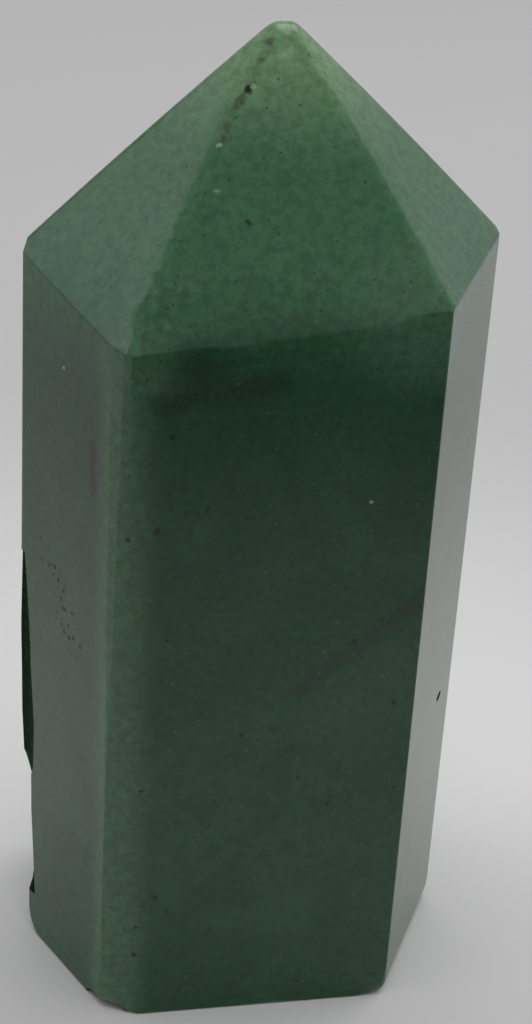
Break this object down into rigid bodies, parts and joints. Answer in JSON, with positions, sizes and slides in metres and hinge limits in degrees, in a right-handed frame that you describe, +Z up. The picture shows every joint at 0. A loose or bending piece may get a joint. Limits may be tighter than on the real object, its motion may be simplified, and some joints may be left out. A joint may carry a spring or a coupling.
{
  "type": "polished aventurine tower",
  "caption": "Free-standing tower of polished green aventurine: a hexagonal column ground from one stone, with a faceted point and a flat foot.",
  "frame": {"origin": "middle of the stone's box at the foot, on the surface it stands on", "axes": "+Z up along the column to the tip, -Y out of the widest face, X across it"},
  "size_m": [0.0342, 0.0226, 0.075],
  "materials": {
    "aventurine": "polished, slightly translucent green quartz with dark green clouds, pale veils and small dark flecks"
  },
  "bodies": {
    "root": {"stone": "aventurine"}
  },
  "joints": []
}
